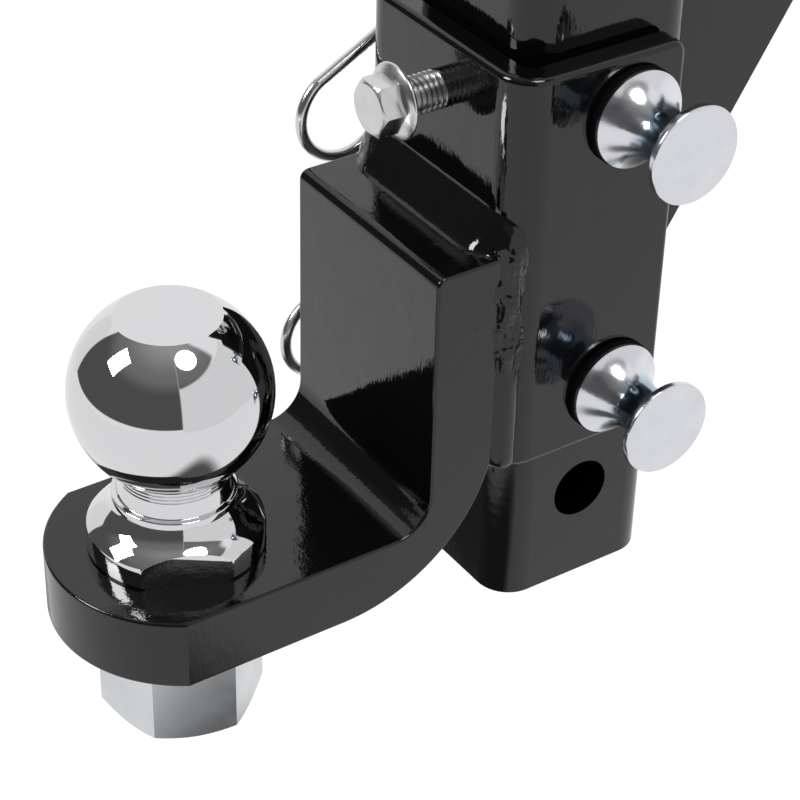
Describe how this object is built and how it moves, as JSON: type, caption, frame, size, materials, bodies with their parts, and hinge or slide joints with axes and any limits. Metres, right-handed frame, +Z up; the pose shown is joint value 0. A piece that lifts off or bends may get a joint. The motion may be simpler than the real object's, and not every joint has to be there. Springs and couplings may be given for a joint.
{
  "type": "adjustable ball mount",
  "caption": "Adjustable trailer hitch ball mount: hollow drop tube with pin holes, sliding channel carriage on two clipped pins, bent platform and tow ball.",
  "frame": {"origin": "centre of the hitch pin hole in the receiver shank", "axes": "+X along the hitch pin hole to the side of the pin heads, +Y along the shank to the vehicle (the ball is at -Y), +Z up"},
  "size_m": [0.103, 0.4507, 0.3816],
  "materials": {
    "black_powder_coat": "gloss",
    "ball_chrome": "polished",
    "zinc_plate": "bright zinc plated",
    "spring_wire": "bright",
    "ring_rubber": "matte"
  },
  "bodies": {
    "drop_frame": {"drop_tube": "black_powder_coat", "receiver_shank": "black_powder_coat", "gusset": "black_powder_coat", "shank_weld_right": "black_powder_coat", "shank_weld_left": "black_powder_coat", "gusset_weld_right": "black_powder_coat", "gusset_weld_left": "black_powder_coat"},
    "carriage": {"carriage_channel": "black_powder_coat", "ball_platform": "black_powder_coat", "platform_weld_right": "black_powder_coat", "platform_weld_left": "black_powder_coat", "platform_weld_top": "black_powder_coat", "tow_ball": "ball_chrome", "lock_washer": "zinc_plate", "ball_nut": "zinc_plate"},
    "upper_pin": {"upper_pin": "zinc_plate", "upper_pin_ring": "ring_rubber"},
    "lower_pin": {"lower_pin": "zinc_plate", "lower_pin_ring": "ring_rubber"},
    "upper_clip": {"upper_clip": "spring_wire"},
    "lower_clip": {"lower_clip": "spring_wire"},
    "anti_rattle_bolt": {"anti_rattle_bolt": "zinc_plate"}
  },
  "joints": [
    {"name": "carriage_slide", "type": "slide", "parent": "drop_frame", "child": "carriage", "axis": [0, 0, 1], "range_m": [-0.0389, 0.1945]},
    {"name": "upper_pin_pull", "type": "slide", "parent": "carriage", "child": "upper_pin", "axis": [1, 0, 0], "range_m": [0, 0.09]},
    {"name": "lower_pin_pull", "type": "slide", "parent": "carriage", "child": "lower_pin", "axis": [1, 0, 0], "range_m": [0, 0.09]},
    {"name": "upper_clip_pull", "type": "slide", "parent": "upper_pin", "child": "upper_clip", "axis": [0, -0.6481, -0.7615], "range_m": [0, 0.03], "deforming": ["upper_clip"]},
    {"name": "lower_clip_pull", "type": "slide", "parent": "lower_pin", "child": "lower_clip", "axis": [0, -0.8471, -0.5314], "range_m": [0, 0.03], "deforming": ["lower_clip"]},
    {"name": "anti_rattle_bolt_draw", "type": "slide", "parent": "carriage", "child": "anti_rattle_bolt", "axis": [0, -1, 0], "range_m": [0, 0.02]}
  ]
}
